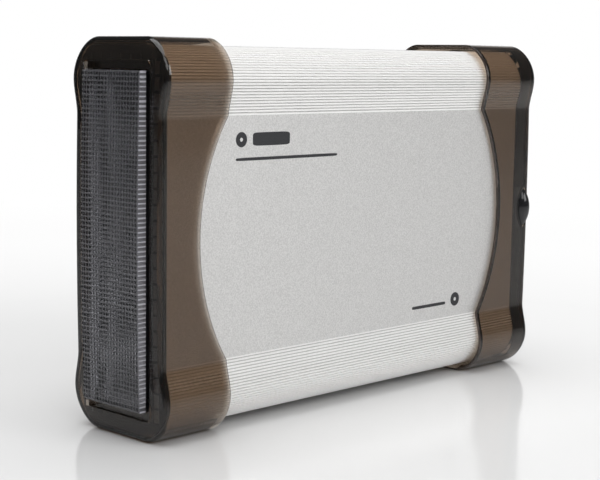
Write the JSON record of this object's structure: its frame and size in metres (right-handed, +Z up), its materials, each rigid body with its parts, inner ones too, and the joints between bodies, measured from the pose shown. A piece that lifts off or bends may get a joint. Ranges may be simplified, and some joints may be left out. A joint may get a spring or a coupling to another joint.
{
  "type": "external optical drive",
  "caption": "Upright external optical drive: ribbed aluminium sleeve, smoked end caps and a clear cross-ribbed door that swings open as the disc tray slides out.",
  "frame": {"origin": "middle of the base the drive stands on, under the middle of its box", "axes": "+Z up, +Y from the door at the front to the sockets at the rear, +X across the thickness"},
  "size_m": [0.0656, 0.27, 0.176],
  "materials": {
    "aluminium": "bead blasted, ribbed lobes",
    "smoked_plastic": "smoked translucent",
    "clear_plastic": "clear, cross-ribbed",
    "black_plastic": "fine texture",
    "gloss_black": "polished",
    "pale_plastic": "natural acetal",
    "steel_sheet": "zinc plated",
    "steel_bright": "nickel plated",
    "brass": "turned",
    "rubber": "matt",
    "circuit_board": "solder mask",
    "chip_black": "moulded epoxy",
    "laser_body": "die cast",
    "lens_glass": "coated lens"
  },
  "bodies": {
    "enclosure": {"sleeve": "aluminium", "front_cap": "smoked_plastic", "rear_cap": "smoked_plastic", "rear_cap_screws": "steel_bright", "bay_shroud": "black_plastic", "rear_shroud": "black_plastic", "hinge_pins": "steel_bright", "cradle": "steel_sheet", "drive_screws": "steel_bright", "drive_cover": "steel_sheet", "drive_base": "steel_sheet", "drive_bezel": "black_plastic", "activity_led": "clear_plastic", "loader_frame": "black_plastic", "loading_belt": "rubber", "loading_motor": "steel_sheet", "sled_motor": "steel_sheet", "traverse_chassis": "steel_sheet", "guide_rods": "steel_bright", "spindle_motor": "steel_sheet", "clamp_bridge": "steel_sheet", "drive_pcb": "circuit_board", "drive_chips": "chip_black", "sata_connector": "black_plastic", "bridge_board": "circuit_board", "board_posts": "brass", "board_screws": "steel_bright", "bridge_chips": "chip_black", "board_sata_plug": "black_plastic", "usb_socket": "steel_sheet", "esata_socket": "steel_sheet", "dc_jack": "black_plastic", "switch_housing": "black_plastic", "fan_frame": "black_plastic", "fan_grille": "steel_bright", "rear_panel": "steel_sheet", "fan_screws": "steel_bright"},
    "door": {"door_panel": "clear_plastic"},
    "tray_carriage": {"tray": "black_plastic", "tray_bezel": "black_plastic", "tray_rack": "black_plastic"},
    "tray_gear": {"tray_gear": "pale_plastic"},
    "belt_pulley": {"belt_pulley": "pale_plastic"},
    "motor_pulley": {"motor_pulley": "brass"},
    "eject_button": {"eject_button": "black_plastic"},
    "turntable": {"turntable": "black_plastic"},
    "disc_clamp": {"disc_clamp": "black_plastic"},
    "sled": {"laser_sled": "laser_body", "laser_lens": "lens_glass", "sled_rack": "pale_plastic"},
    "sled_gear": {"sled_gear": "pale_plastic"},
    "fan_rotor": {"fan_rotor": "black_plastic"},
    "rocker": {"switch_rocker": "gloss_black"},
    "button_near": {"release_button_near": "gloss_black"},
    "button_far": {"release_button_far": "gloss_black"}
  },
  "joints": [
    {"name": "tray_slide", "type": "slide", "parent": "enclosure", "child": "tray_carriage", "axis": [0, -1, 0], "range_m": [0, 0.14]},
    {"name": "door_swing", "type": "hinge", "parent": "enclosure", "child": "door", "pos_m": [-0.0179, -0.1324, 0.088], "axis": [0, 0, -1], "range_deg": [0, 160]},
    {"name": "tray_gear_spin", "type": "hinge", "parent": "enclosure", "child": "tray_gear", "pos_m": [0.00865, -0.097, 0.042], "axis": [1, 0, 0], "range_deg": [-670, 0]},
    {"name": "belt_pulley_spin", "type": "hinge", "parent": "enclosure", "child": "belt_pulley", "pos_m": [0.006, -0.079, 0.042], "axis": [1, 0, 0], "range_deg": [0, 1340]},
    {"name": "motor_pulley_spin", "type": "hinge", "parent": "enclosure", "child": "motor_pulley", "pos_m": [0, -0.052, 0.042], "axis": [1, 0, 0], "range_deg": [0, 5800]},
    {"name": "eject_press", "type": "slide", "parent": "enclosure", "child": "eject_button", "axis": [0, 1, 0], "range_m": [0, 0.001], "stiffness_N_per_m": 400},
    {"name": "spindle_spin", "type": "hinge", "parent": "enclosure", "child": "turntable", "pos_m": [0, -0.0425, 0.088], "axis": [1, 0, 0], "continuous": true},
    {"name": "clamp_spin", "type": "hinge", "parent": "enclosure", "child": "disc_clamp", "pos_m": [0.016, -0.0425, 0.088], "axis": [1, 0, 0], "continuous": true},
    {"name": "sled_slide", "type": "slide", "parent": "enclosure", "child": "sled", "axis": [0, 1, 0], "range_m": [0, 0.034]},
    {"name": "sled_gear_spin", "type": "hinge", "parent": "enclosure", "child": "sled_gear", "pos_m": [0.0025, -0.005, 0.052], "axis": [1, 0, 0], "range_deg": [-391, 0]},
    {"name": "fan_spin", "type": "hinge", "parent": "enclosure", "child": "fan_rotor", "pos_m": [0, 0.1243, 0.13], "axis": [0, 1, 0], "continuous": true},
    {"name": "rocker_tilt", "type": "hinge", "parent": "enclosure", "child": "rocker", "pos_m": [-0.0076, 0.1284, 0.096], "axis": [1, 0, 0], "range_deg": [-8, 8]},
    {"name": "button_near_press", "type": "slide", "parent": "enclosure", "child": "button_near", "axis": [-0.7071, -0.7071, 0], "range_m": [0, 0.0008], "stiffness_N_per_m": 500},
    {"name": "button_far_press", "type": "slide", "parent": "enclosure", "child": "button_far", "axis": [0.7071, -0.7071, 0], "range_m": [0, 0.0008], "stiffness_N_per_m": 500}
  ],
  "couplings": [
    {"joint": "door_swing", "follows": "tray_slide", "rad_per_m": 19.94},
    {"joint": "tray_gear_spin", "follows": "tray_slide", "rad_per_m": -83.333},
    {"joint": "belt_pulley_spin", "follows": "tray_slide", "rad_per_m": 166.67},
    {"joint": "motor_pulley_spin", "follows": "tray_slide", "rad_per_m": 722.22},
    {"joint": "clamp_spin", "follows": "spindle_spin", "ratio": 1},
    {"joint": "sled_gear_spin", "follows": "sled_slide", "rad_per_m": -200}
  ]
}
